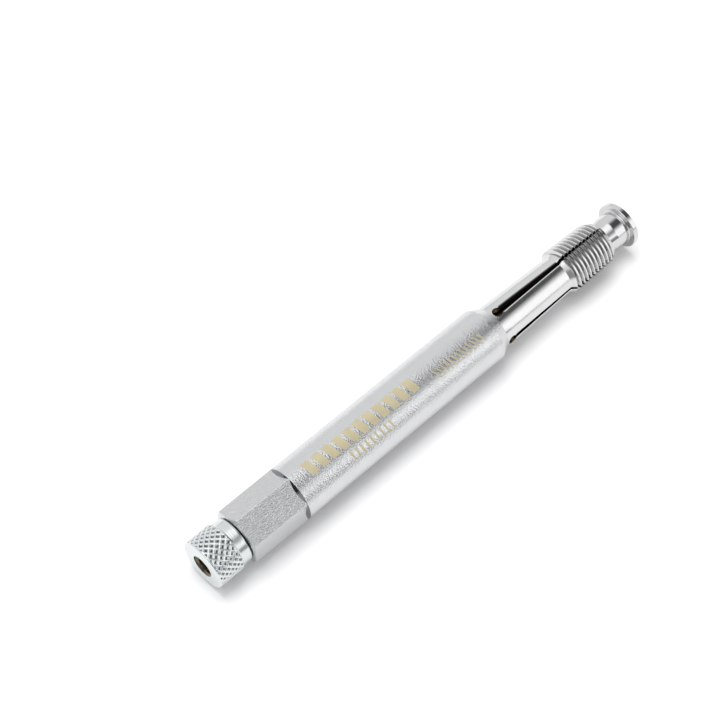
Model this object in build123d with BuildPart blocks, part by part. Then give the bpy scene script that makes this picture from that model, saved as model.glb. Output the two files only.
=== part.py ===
from build123d import *

import os
from math import cos, radians, sin, tan

# Expanding back tap for an M14 x 1.25 spark plug hole: a hexagon-ended barrel holds a tap split into
# four fingers, and a knurled knob draws a tapered rod back through the tap to spread the fingers.
# Millimetres.  X runs along the tool towards the tap, Z is up, the tool lies on its barrel, and the
# origin is under its middle.  Stations are distances from the knob's free end.  The tap is made at
# its open, cutting size and each finger is then turned in about its root, as it lies at rest.

# ---- driving dimensions ----
knob_length = 10.1
knob_gap = 0.15                 # between the knob's shoulder and the hexagon's end
knob_d = 12.8                   # over the knurl
knob_grip_length = 7.1
knob_neck_d = 11.9
knob_rim_chamfer = 0.4
knob_step_length = 0.3          # cone from the grip down to the neck
knob_back_chamfer = 0.4
knob_hole_chamfer = 0.4

hex_af = 12.7                   # across flats, a half-inch wrench
hex_length = 16.5
hex_rim_loss = 1.35             # radius lost at the rear end of the hexagon's corners
hex_rim_length = 0.5            # length over which they lose it
barrel_d = 14.5
body_length = 83.0              # hexagon and barrel together
shoulder_length = 0.7           # cone between the flats and the barrel
nose_length = 2.8               # cone at the barrel's front

rod_d = 6.35                    # quarter-inch rod, threaded 20 turns to the inch at its tail
rod_pitch = 1.27
rod_turns = 5                   # knob turns from closed to open
rod_recess = 5.4                # tail below the knob's free end
rod_chamfer = 0.6
wedge_d = 9.0                   # parallel part in front of the wedge cone
wedge_slope = 0.1276            # radius gained for each millimetre along the cone
wedge_parallel = 3.65
disc_d = 12.26                  # passes the 12.65 mm hole through an M14 x 1.25 thread
disc_length = 1.5
disc_rounding = 0.2
disc_fillet = 0.3
rod_showing = 6.55              # from the tap's tip to the back of the disc, when closed

thread_d = 14.0
thread_pitch = 1.25
thread_turns = 11
thread_depth = 0.77
thread_crest = 0.16             # flat on each crest
thread_root = 0.16              # flat in each groove
tip_chamfer = 0.8               # radius lost at the tap's tip
tip_chamfer_length = 1.7

shank_d = 11.5
shank_length = 22.8             # barrel's front to the start of the taper
shank_taper_length = 1.6        # taper from the shank up to the thread
slot_width = 1.8
relief_d = 2.6                  # hole at the root of each slot
relief_setback = 1.55           # from the barrel's front to the holes' centres
bore_d = 7.8                    # bore behind the wedge seat
bore_cone_length = 1.0          # cone between a guide and the wider bore
close_angle = 1.7               # degrees each finger turns in from its cutting size
flex_radius = 4.9               # radius of each finger's flexing line
flex_gap = 0.1                  # clearance at a finger's root
seat_clearance = 0.1            # between the wedge and the closed fingers

collar_depth = 12.0             # collar held inside the barrel
guide_length = 8.0              # close bore in the collar that guides the rod
running_clearance = 0.075       # radial, rod in its guides
key_d = 2.0
key_setback = 8.0               # from the barrel's front to the key pin
key_reach = 2.3                 # radius of the pin's inner end
keyway_floor = 2.2              # radius of the keyway's floor
key_clearance = 0.05
key_recess = 0.1                # the pin's outer end below the collar's surface

overshoot = 1.0                 # how far a cutting profile runs past the faces that it opens
edge_margin = 0.01              # match for a radius, and how far the tip cutter clears its corners

# ---- sizes worked out from them ----
axis_z = barrel_d / 2
body_rear = knob_length + knob_gap
shoulder = body_rear + hex_length
body_front = body_rear + body_length
relief = body_front + relief_setback
shank_front = body_front + shank_length
thread_start = shank_front + shank_taper_length
tap_tip = thread_start + thread_turns * thread_pitch
disc_back = tap_tip + rod_showing
overall_length = disc_back + disc_length
rod_travel = rod_pitch * rod_turns
guide_r = rod_d / 2 + running_clearance
wedge_front = disc_back - wedge_parallel
wedge_rear = wedge_front - (wedge_d - rod_d) / 2 / wedge_slope
wedge_at_tip = rod_d / 2 + (tap_tip - wedge_rear) * wedge_slope
collar_rear = body_front - collar_depth
guide_front = collar_rear + guide_length
key_station = body_front - key_setback

os.makedirs("parts", exist_ok=True)


def along(station):
    """X of a station, with the origin at the middle of the tool."""
    return station - overall_length / 2


tool_axis = Axis((0, 0, axis_z), (1, 0, 0))
section = Plane(origin=(0, 0, axis_z), x_dir=(1, 0, 0), z_dir=(0, -1, 0))


def cross_section(station):
    """Plane across the tool at a station, its local x along Y and its local y along Z."""
    return Plane(origin=(along(station), 0, axis_z), x_dir=(0, 1, 0), z_dir=(1, 0, 0))


def radial_plane(station, angle):
    """Plane through the tool's axis whose normal points out at an angle from Y towards Z."""
    out = (0, cos(radians(angle)), sin(radians(angle)))
    return Plane(origin=(along(station), 0, axis_z), x_dir=(1, 0, 0), z_dir=out)


# ---- body: hexagon and barrel in one piece ----
with BuildPart() as hex_body:
    with BuildSketch(cross_section(body_rear)):
        RegularPolygon(hex_af / 2, 6, major_radius=False, rotation=30)
    extrude(amount=hex_length)
    with BuildSketch(section):
        with BuildLine():
            Polyline(
                (along(body_rear), 0),
                (along(body_rear), barrel_d / 2 - hex_rim_loss),
                (along(body_rear + hex_rim_length), barrel_d / 2),
                (along(shoulder), barrel_d / 2),
                (along(shoulder), 0),
                close=True,
            )
        make_face()
    revolve(axis=tool_axis, mode=Mode.INTERSECT)
    with BuildSketch(section):
        with BuildLine():
            Polyline(
                (along(shoulder - shoulder_length), 0),
                (along(shoulder - shoulder_length), hex_af / 2),
                (along(shoulder), barrel_d / 2),
                (along(body_front - nose_length), barrel_d / 2),
                (along(body_front), shank_d / 2),
                (along(body_front), 0),
                close=True,
            )
        make_face()
    revolve(axis=tool_axis)
    with BuildSketch(section):
        with BuildLine():
            Polyline(
                (along(body_rear - overshoot), 0),
                (along(body_rear - overshoot), guide_r),
                (along(shoulder), guide_r),
                (along(shoulder + bore_cone_length), bore_d / 2),
                (along(collar_rear), bore_d / 2),
                (along(collar_rear), shank_d / 2),
                (along(body_front + overshoot), shank_d / 2),
                (along(body_front + overshoot), 0),
                close=True,
            )
        make_face()
    revolve(axis=tool_axis, mode=Mode.SUBTRACT)
hex_body.part.label = "hex_body"

# ---- tap collar: the unsplit root of the tap, pressed into the barrel ----
with BuildPart() as tap_collar:
    with BuildSketch(section):
        with BuildLine():
            Polyline(
                (along(collar_rear), guide_r),
                (along(collar_rear), shank_d / 2),
                (along(relief), shank_d / 2),
                (along(relief), bore_d / 2),
                (along(guide_front + bore_cone_length), bore_d / 2),
                (along(guide_front), guide_r),
                close=True,
            )
        make_face()
    revolve(axis=tool_axis)
    for slot_angle in (0, 90, 180, 270):
        with BuildSketch(radial_plane(relief, slot_angle)):
            Circle(relief_d / 2)
        extrude(amount=barrel_d, mode=Mode.SUBTRACT)
    with BuildSketch(radial_plane(key_station, -90)):
        Circle(key_d / 2)
    extrude(amount=barrel_d / 2, mode=Mode.SUBTRACT)
tap_collar.part.label = "tap_collar"

# ---- key pin: stops the rod turning and limits its travel ----
with BuildPart() as key_pin:
    with BuildSketch(radial_plane(key_station, -90).offset(key_reach)):
        Circle(key_d / 2)
    extrude(amount=shank_d / 2 - key_reach - key_recess)
key_pin.part.label = "key_pin"

# ---- draw rod: threaded tail, keyed stem, wedge cone and end disc ----
with BuildPart() as draw_rod:
    with BuildSketch(section):
        with BuildLine():
            Polyline(
                (along(rod_recess), 0),
                (along(rod_recess), rod_d / 2 - rod_chamfer),
                (along(rod_recess + rod_chamfer), rod_d / 2),
                (along(wedge_rear), rod_d / 2),
                (along(wedge_front), wedge_d / 2),
                (along(disc_back), wedge_d / 2),
                (along(disc_back), disc_d / 2),
                (along(overall_length), disc_d / 2),
                (along(overall_length), 0),
                close=True,
            )
        make_face()
    revolve(axis=tool_axis)
    round_edges = draw_rod.edges().filter_by(GeomType.CIRCLE)
    neck_edges = round_edges.filter_by(lambda e: abs(e.radius - wedge_d / 2) < edge_margin)
    rim_edges = round_edges.filter_by(lambda e: abs(e.radius - disc_d / 2) < edge_margin)
    fillet(neck_edges.sort_by(Axis.X)[-1], disc_fillet)
    fillet(rim_edges, disc_rounding)
    # the pin stands at the keyway's front end when closed and reaches its rear end when open
    with BuildSketch(radial_plane(key_station + rod_travel / 2, -90).offset(keyway_floor)):
        SlotCenterToCenter(rod_travel, key_d + 2 * key_clearance)
    extrude(amount=rod_d, mode=Mode.SUBTRACT)
draw_rod.part.label = "draw_rod"

# ---- knurled knob: the nut on the rod's tail ----
with BuildPart() as knurled_knob:
    with BuildSketch(section):
        with BuildLine():
            Polyline(
                (along(0), guide_r + knob_hole_chamfer),
                (along(0), knob_d / 2 - knob_rim_chamfer),
                (along(knob_rim_chamfer), knob_d / 2),
                (along(knob_grip_length), knob_d / 2),
                (along(knob_grip_length + knob_step_length), knob_neck_d / 2),
                (along(knob_length - knob_back_chamfer), knob_neck_d / 2),
                (along(knob_length), knob_neck_d / 2 - knob_back_chamfer),
                (along(knob_length), guide_r),
                (along(knob_hole_chamfer), guide_r),
                close=True,
            )
        make_face()
    revolve(axis=tool_axis)
knurled_knob.part.label = "knurled_knob"


# ---- tap fingers, each turned in about its flexing line ----
def groove_points():
    """Crests and grooves of the thread, from its start to the tip's chamfer, at cutting size."""
    crest_r = thread_d / 2
    flank = (thread_pitch - thread_crest - thread_root) / 2
    points = []
    for turn in range(thread_turns):
        start = thread_start - relief + turn * thread_pitch
        points.append((start, crest_r))
        points.append((start + thread_crest, crest_r))
        points.append((start + thread_crest + flank, crest_r - thread_depth))
        points.append((start + thread_crest + flank + thread_root, crest_r - thread_depth))
    return points


def finger_profile():
    """Half section of the open tap in front of the relief holes: along it, and out from its axis."""
    tip = tap_tip - relief
    seat_rear = wedge_rear - relief
    opened = tan(radians(close_angle))
    seat_rear_r = rod_d / 2 + seat_clearance + opened * seat_rear
    seat_front_r = wedge_at_tip + seat_clearance + opened * tip
    outline = [(flex_gap, shank_d / 2), (shank_front - relief, shank_d / 2)]
    outline += groove_points()
    outline += [(tip, thread_d / 2), (tip, seat_front_r)]
    outline += [(seat_rear, max(seat_rear_r, bore_d / 2)), (flex_gap, bore_d / 2)]
    return outline


def tip_cutter():
    """Ring outside the chamfer at the tap's tip."""
    tip = tap_tip - relief
    return [
        (tip - tip_chamfer_length, thread_d / 2 + edge_margin),
        (tip + edge_margin, thread_d / 2 - tip_chamfer),
        (tip + edge_margin, thread_d),
        (tip - tip_chamfer_length, thread_d),
    ]


for number, finger_angle in enumerate((45, 135, 225, 315), start=1):
    turn = radians(close_angle)
    out = Vector(0, cos(radians(finger_angle)), sin(radians(finger_angle)))
    ahead = Vector(1, 0, 0)
    tap_ahead = ahead * cos(turn) - out * sin(turn)
    tap_out = out * cos(turn) + ahead * sin(turn)
    flex_point = Vector(along(relief), 0, axis_z) + out * flex_radius
    tap_origin = flex_point - tap_out * flex_radius
    side_a = tap_out.rotate(Axis((0, 0, 0), tuple(tap_ahead)), 45)
    side_b = tap_out.rotate(Axis((0, 0, 0), tuple(tap_ahead)), -45)
    tap_section = Plane(origin=tap_origin, x_dir=tap_ahead, z_dir=tap_ahead.cross(tap_out))
    tap_axis = Axis(tuple(tap_origin), tuple(tap_ahead))
    with BuildPart() as tap_finger:
        with BuildSketch(tap_section):
            with BuildLine():
                Polyline(*finger_profile(), close=True)
            make_face()
            with BuildLine():
                Polyline(*tip_cutter(), close=True)
            make_face(mode=Mode.SUBTRACT)
        revolve(axis=tap_axis)
        with BuildSketch(Plane(origin=tap_origin, x_dir=side_b, z_dir=tap_ahead)):
            with Locations((slot_width / 2, slot_width / 2)):
                Rectangle(thread_d, thread_d, align=(Align.MIN, Align.MIN))
        extrude(amount=tap_tip, mode=Mode.INTERSECT)
        for side in (side_a, side_b):
            with BuildSketch(Plane(origin=tap_origin, x_dir=tap_ahead, z_dir=side)):
                Circle(relief_d / 2)
            extrude(amount=barrel_d, mode=Mode.SUBTRACT)
    tap_finger.part.label = f"tap_finger_{number}"
    export_step(tap_finger.part, f"parts/tap_finger_{number}.step")

for piece in (hex_body, tap_collar, key_pin, draw_rod, knurled_knob):
    export_step(piece.part, f"parts/{piece.part.label}.step")
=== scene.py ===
"""Expanding back tap: a hexagon-ended barrel, a knurled knob, a split thread tap and its wedge rod."""

from __future__ import annotations

import logging
from dataclasses import dataclass
from enum import Enum
from math import acos, asin, cos, degrees, pi, radians, sin, sqrt, tau
from typing import Iterable, Sequence

import bmesh
import bpy
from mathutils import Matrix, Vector


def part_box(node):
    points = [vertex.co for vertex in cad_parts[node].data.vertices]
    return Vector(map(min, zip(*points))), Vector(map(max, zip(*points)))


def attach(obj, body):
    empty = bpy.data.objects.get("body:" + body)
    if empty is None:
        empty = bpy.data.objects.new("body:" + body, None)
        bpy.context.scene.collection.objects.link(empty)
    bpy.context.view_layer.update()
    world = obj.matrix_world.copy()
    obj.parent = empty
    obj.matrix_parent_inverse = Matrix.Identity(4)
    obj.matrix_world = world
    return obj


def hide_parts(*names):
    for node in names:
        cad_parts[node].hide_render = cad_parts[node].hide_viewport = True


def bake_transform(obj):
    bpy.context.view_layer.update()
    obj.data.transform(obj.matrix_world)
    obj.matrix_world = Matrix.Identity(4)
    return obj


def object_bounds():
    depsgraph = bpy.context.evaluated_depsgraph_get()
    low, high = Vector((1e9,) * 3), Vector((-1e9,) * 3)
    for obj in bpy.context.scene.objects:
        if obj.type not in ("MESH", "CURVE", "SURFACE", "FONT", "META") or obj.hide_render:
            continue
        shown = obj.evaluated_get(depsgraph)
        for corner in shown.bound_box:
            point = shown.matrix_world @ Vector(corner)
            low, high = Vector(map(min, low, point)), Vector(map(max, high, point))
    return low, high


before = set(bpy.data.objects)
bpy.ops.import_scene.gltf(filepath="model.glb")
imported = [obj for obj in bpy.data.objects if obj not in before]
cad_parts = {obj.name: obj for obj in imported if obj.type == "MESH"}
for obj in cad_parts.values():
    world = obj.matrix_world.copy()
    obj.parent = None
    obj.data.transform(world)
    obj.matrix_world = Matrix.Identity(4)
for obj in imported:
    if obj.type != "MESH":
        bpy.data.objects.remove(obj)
cad_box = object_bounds()

log = logging.getLogger("back_tap")
MM = 0.001

Point = tuple[float, float, float]
Number = "Term | float"


# ---- formulas in node trees


@dataclass(frozen=True)
class Term:
    """A value inside a node tree, so that a rule can be written down as a formula."""

    tree: bpy.types.NodeTree
    socket: bpy.types.NodeSocket

    def math(self, operation: str, *others: Number) -> Term:
        """Joins this value to others with a Math node.

        Args:
            operation: The Math node's operation.
            *others: The further operands, numbers or terms.

        Returns:
            The node's result.
        """
        node = self.tree.nodes.new("ShaderNodeMath")
        node.operation = operation
        for place, value in enumerate((self, *others)):
            feed(self.tree, node.inputs[place], value)
        return Term(self.tree, node.outputs[0])

    def __add__(self, other: Number) -> Term:
        """Sum."""
        return self.math("ADD", other)

    def __sub__(self, other: Number) -> Term:
        """Difference."""
        return self.math("SUBTRACT", other)

    def __rsub__(self, other: float) -> Term:
        """Difference from a number on the left."""
        return (self * -1.0) + other

    def __mul__(self, other: Number) -> Term:
        """Product."""
        return self.math("MULTIPLY", other)

    def __truediv__(self, other: Number) -> Term:
        """Quotient."""
        return self.math("DIVIDE", other)

    __radd__ = __add__
    __rmul__ = __mul__

    def clamp(self) -> Term:
        """The value held between 0 and 1."""
        return self.math("MAXIMUM", 0.0).math("MINIMUM", 1.0)

    def ramp(self, low: Number, high: Number) -> Term:
        """Rises from 0 to 1 as the value goes from low to high."""
        return ((self - low) / (high - low)).clamp()

    def smooth(self) -> Term:
        """Smooth step of a value that is already between 0 and 1."""
        return self * self * (3.0 - 2.0 * self)

    def smallest(self, *others: Number) -> Term:
        """The least of this value and others."""
        least = self
        for other in others:
            least = least.math("MINIMUM", other)
        return least

    def largest(self, other: Number) -> Term:
        """The greater of this value and another."""
        return self.math("MAXIMUM", other)

    def wave(self) -> Term:
        """Triangle wave: 1 at whole numbers and 0 halfway between them."""
        return (self.math("FRACT") * 2.0 - 1.0).math("ABSOLUTE")


def feed(tree: bpy.types.NodeTree, socket: bpy.types.NodeSocket, value: Number) -> None:
    """Gives a socket a term's link or a plain value."""
    if isinstance(value, Term):
        tree.links.new(value.socket, socket)
    else:
        socket.default_value = value


def thread_height(x: Term, turn: Term, start: Term, pitch: Term, flat: Number = 0.12) -> Term:
    """Height of a right-handed thread: 1 on its crests and 0 at its roots.

    Args:
        x: Distance along the axis.
        turn: Share of a turn round it.
        start: Where a crest crosses the zero of turn.
        pitch: The thread's pitch.
        flat: Share of the pitch that each crest and root is flat for.

    Returns:
        The height.
    """
    phase = ((x - start) / pitch - turn).wave()
    return ((phase - flat) / (1.0 - 2.0 * flat)).clamp()


def parts(tree: bpy.types.NodeTree, vector: bpy.types.NodeSocket) -> tuple[Term, Term, Term]:
    """The three parts of a vector."""
    split = tree.nodes.new("ShaderNodeSeparateXYZ")
    tree.links.new(vector, split.inputs[0])
    return tuple(Term(tree, out) for out in split.outputs)


def coordinates(tree: bpy.types.NodeTree, output: str) -> tuple[Term, Term, Term]:
    """The three parts of one output of a Texture Coordinate node."""
    return parts(tree, tree.nodes.new("ShaderNodeTexCoord").outputs[output])


def mixed(tree: bpy.types.NodeTree, share: Number) -> bpy.types.Node:
    """A colour mix with its share filled in: inputs 6 and 7 are its colours, output 2 its result."""
    mix = tree.nodes.new("ShaderNodeMix")
    mix.data_type = "RGBA"
    feed(tree, mix.inputs[0], share)
    return mix


class RuleTree:
    """A Geometry Nodes tree that shapes a mesh by formulas and then gives it its finishes."""

    def __init__(self, name: str, axle: Axle, sizes: dict[str, float]) -> None:
        """Makes the tree with one named input for each size and one for the axis height.

        Args:
            name: The tree's name.
            axle: The tool's axis.
            sizes: The inputs' names and the values that the modifier gives them.
        """
        self.tree = bpy.data.node_groups.new(name, "GeometryNodeTree")
        self.sizes = {**sizes, "Axis height": axle.height / MM}
        face = self.tree.interface
        face.new_socket("Geometry", in_out="INPUT", socket_type="NodeSocketGeometry")
        for size in self.sizes:
            face.new_socket(size, in_out="INPUT", socket_type="NodeSocketFloat")
        face.new_socket("Geometry", in_out="OUTPUT", socket_type="NodeSocketGeometry")
        self.inputs = self.tree.nodes.new("NodeGroupInput")
        self.flow = self.inputs.outputs[0]

    def node(self, kind: str, **settings: object) -> bpy.types.Node:
        """Adds a node.

        Args:
            kind: The node's type.
            **settings: Attributes to set on it.

        Returns:
            The node.
        """
        made = self.tree.nodes.new(kind)
        for name, value in settings.items():
            setattr(made, name, value)
        return made

    def size(self, name: str) -> Term:
        """One of the tree's named inputs."""
        return Term(self.tree, self.inputs.outputs[name])

    def attribute(self, name: str) -> Term:
        """A number stored on the mesh's points."""
        made = self.node("GeometryNodeInputNamedAttribute", data_type="FLOAT")
        made.inputs["Name"].default_value = name
        return Term(self.tree, made.outputs["Attribute"])

    def position(self) -> tuple[Term, Term, Term]:
        """The mesh's own position, as three terms."""
        return parts(self.tree, self.node("GeometryNodeInputPosition").outputs[0])

    def round_position(self) -> tuple[Term, Term, Term, Term, Term]:
        """Along, across and up from the axis in millimetres, the radius and the share of a turn."""
        x, y, z = (part / MM for part in self.position())
        up = z - self.size("Axis height")
        return x, y, up, (y * y + up * up).math("SQRT"), up.math("ARCTAN2", y) / tau

    def vector(self, x: Number, y: Number, z: Number) -> bpy.types.NodeSocket:
        """Joins three values into a vector."""
        joined = self.node("ShaderNodeCombineXYZ")
        for socket, value in zip(joined.inputs, (x, y, z)):
            feed(self.tree, socket, value)
        return joined.outputs[0]

    def through(self, node: bpy.types.Node) -> None:
        """Passes the geometry through a node."""
        self.tree.links.new(self.flow, node.inputs["Geometry"])
        self.flow = node.outputs[0]

    def place(self, x: Term, y: Term, up: Term) -> None:
        """Moves every point to its X, and its places across and up from the axis, in millimetres."""
        mover = self.node("GeometryNodeSetPosition")
        spot = self.vector(x * MM, y * MM, (self.size("Axis height") + up) * MM)
        self.tree.links.new(spot, mover.inputs["Position"])
        self.through(mover)

    def keep(self, name: str, value: Term) -> None:
        """Stores a number on every point, for the finishes to read."""
        keeper = self.node("GeometryNodeStoreNamedAttribute", data_type="FLOAT", domain="POINT")
        keeper.inputs["Name"].default_value = name
        feed(self.tree, keeper.inputs["Value"], value)
        self.through(keeper)

    def close(self, finishes: Sequence[tuple[bpy.types.Material, str | None]]) -> None:
        """Ends the tree with Realize Instances and one Set Material for each finish.

        Args:
            finishes: Materials, each with the name of the face attribute that picks its faces, or
                None for all faces.
        """
        self.through(self.node("GeometryNodeRealizeInstances"))
        for material, picked in finishes:
            painter = self.node("GeometryNodeSetMaterial")
            painter.inputs["Material"].default_value = material
            if picked:
                flag = self.node("GeometryNodeInputNamedAttribute", data_type="BOOLEAN")
                flag.inputs["Name"].default_value = picked
                self.tree.links.new(flag.outputs["Attribute"], painter.inputs["Selection"])
            self.through(painter)
        end = self.node("NodeGroupOutput")
        self.tree.links.new(self.flow, end.inputs[0])

    def bake(self, piece: bpy.types.Object) -> bpy.types.Object:
        """Runs the tree on a piece and keeps the result as its plain mesh."""
        modifier = piece.modifiers.new(self.tree.name, "NODES")
        modifier.node_group = self.tree
        for item in self.tree.interface.items_tree:
            if item.in_out == "INPUT" and item.name in self.sizes:
                modifier[item.identifier] = float(self.sizes[item.name])
        return settle(piece)


def settle(piece: bpy.types.Object) -> bpy.types.Object:
    """Turns a piece's modifiers into plain mesh and removes them."""
    graph = bpy.context.evaluated_depsgraph_get()
    baked = bpy.data.meshes.new_from_object(piece.evaluated_get(graph))
    baked.name = piece.name
    piece.modifiers.clear()
    piece.data = baked
    for name in ("along", "across", "layer", "dark_faces"):
        if name in baked.attributes:
            baked.attributes.remove(baked.attributes[name])
    return piece


# ---- plain mesh helpers


def new_piece(name: str, points: Iterable[Point], faces: Iterable[Sequence[int]]) -> bpy.types.Object:
    """Makes a mesh object at the origin.

    Args:
        name: The piece's name.
        points: Corners in metres, or in the units that a rule tree turns into metres.
        faces: Rings of corner numbers, seen anticlockwise from outside.

    Returns:
        The new object.
    """
    mesh = bpy.data.meshes.new(name)
    mesh.from_pydata(list(points), [], list(faces))
    mesh.validate()
    piece = bpy.data.objects.new(name, mesh)
    bpy.context.scene.collection.objects.link(piece)
    return piece


def store(piece: bpy.types.Object, name: str, values: Sequence[float]) -> None:
    """Stores one number on each point of a piece."""
    piece.data.attributes.new(name, "FLOAT", "POINT").data.foreach_set("value", list(values))


def flag_faces(piece: bpy.types.Object, name: str, flags: Sequence[bool]) -> None:
    """Stores a yes or no on each face of a piece."""
    piece.data.attributes.new(name, "BOOLEAN", "FACE").data.foreach_set("value", flags)


def smooth_faces(piece: bpy.types.Object, crease: float = 32.0) -> None:
    """Shades a piece smooth, with edges sharper than crease degrees kept crisp."""
    piece.data.shade_smooth()
    piece.data.set_sharp_from_angle(angle=radians(crease))


def tube_faces(rings: int, columns: int, closed: bool) -> list[tuple[int, ...]]:
    """Faces between rings of points round an axis.

    Args:
        rings: How many rings there are.
        columns: Points in each ring.
        closed: Whether the last ring joins back to the first, as in a hollow turned piece.

    Returns:
        The four-sided faces.
    """
    faces = []
    for ring in range(rings if closed else rings - 1):
        ahead = (ring + 1) % rings
        for column in range(columns):
            beside = (column + 1) % columns
            faces.append((ring * columns + column, ring * columns + beside,
                          ahead * columns + beside, ahead * columns + column))
    return faces


@dataclass(frozen=True)
class Axle:
    """The tool's own axis in the frame, along +X."""

    x_middle: float
    height: float
    length: float

    def x(self, station: float) -> float:
        """X in metres of a station, in millimetres from the knob's free end."""
        return self.x_middle + (station - self.length / 2) * MM

    def at(self, station: float, radius: float, angle: float) -> Point:
        """A point in metres: station and radius in millimetres, angle in radians from +Y to +Z."""
        return (self.x(station), radius * MM * cos(angle), self.height + radius * MM * sin(angle))


def held(outline: Sequence[tuple[float, float]], margin: float = 0.05) -> list[tuple[float, float]]:
    """Adds a point close to each end of an outline's longer runs, to hold their shading flat."""
    kept = [outline[0]]
    for (a, b), (c, d) in zip(outline, outline[1:]):
        run = sqrt((c - a) ** 2 + (d - b) ** 2)
        if run > 3 * margin:
            share = margin / run
            kept += [(a + (c - a) * share, b + (d - b) * share), (c - (c - a) * share, d - (d - b) * share)]
        kept.append((c, d))
    return kept


def turned(name: str, axle: Axle, outline: Sequence[tuple[float, float]], columns: int,
           hollow: bool) -> bpy.types.Object:
    """Turns an outline round the tool's axis.

    Args:
        name: The piece's name.
        axle: The tool's axis.
        outline: Stations and radii in millimetres, going along +X on the outside. A solid piece
            starts and ends on the axis; a hollow one comes back along its bore.
        columns: Points round the axis.
        hollow: Whether the outline is a closed ring.

    Returns:
        The turned piece.
    """
    points, faces = [], []
    body = held([*outline, outline[0]])[:-1] if hollow else held(outline[1:-1])
    for station, radius in body:
        points += [axle.at(station, radius, tau * k / columns) for k in range(columns)]
    faces += tube_faces(len(body), columns, hollow)
    if not hollow:
        last = (len(body) - 1) * columns
        for hub, ring, way in ((outline[0], 0, 1), (outline[-1], last, -1)):
            points.append(axle.at(hub[0], 0.0, 0.0))
            centre = len(points) - 1
            for column in range(columns):
                pair = (ring + column, ring + (column + 1) % columns)
                faces.append((centre, *pair[::-way]))
    piece = new_piece(name, points, faces)
    recalculate(piece)
    return piece


def recalculate(piece: bpy.types.Object, merge: float = 1e-7) -> None:
    """Merges doubles and makes every face point outwards."""
    mesh = bmesh.new()
    mesh.from_mesh(piece.data)
    bmesh.ops.remove_doubles(mesh, verts=mesh.verts, dist=merge)
    bmesh.ops.dissolve_degenerate(mesh, edges=mesh.edges, dist=merge)
    bmesh.ops.recalc_face_normals(mesh, faces=mesh.faces)
    mesh.to_mesh(piece.data)
    mesh.free()


def arc(centre: tuple[float, float], radius: float, start: float, end: float,
        steps: int = 6) -> list[tuple[float, float]]:
    """Points of an arc in an outline, angles in degrees from the +station direction."""
    turns = [radians(start + (end - start) * k / steps) for k in range(steps + 1)]
    return [(centre[0] + radius * cos(t), centre[1] + radius * sin(t)) for t in turns]


def dress(piece: bpy.types.Object, body: str | tuple[str, str], node: str | None, slot: str,
          *materials: bpy.types.Material, flex: tuple[Point, Point] | None = None) -> None:
    """Gives a finished piece its materials, attaches it to its body unless it bends, and hides the CAD node
    it stands for.

    Args:
        piece: The finished mesh.
        body: The body that it rides on, or the two that it bends between.
        node: The CAD node that it replaces, or None.
        slot: The record's material slot; not used.
        *materials: Its materials, or none where the piece already has them.
        flex: Where a bending piece starts and stops bending; only whether it is given is used, and a piece
            given it is not attached to a body.
    """
    if materials:
        piece.data.materials.clear()
        for material in materials:
            piece.data.materials.append(material)
    if flex:
        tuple(flex[0])
        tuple(flex[1])
        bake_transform(piece)
    else:
        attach(piece, body)
    if node:
        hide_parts(node)
    log.info("%s: %d faces, on %s", piece.name, len(piece.data.polygons), body)


# ---- finishes


class Grain(Enum):
    """How a metal surface was left."""

    BLASTED = "blasted"
    TURNED = "turned"
    PLATED = "plated"
    CUT_FACE = "cut_face"


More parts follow.
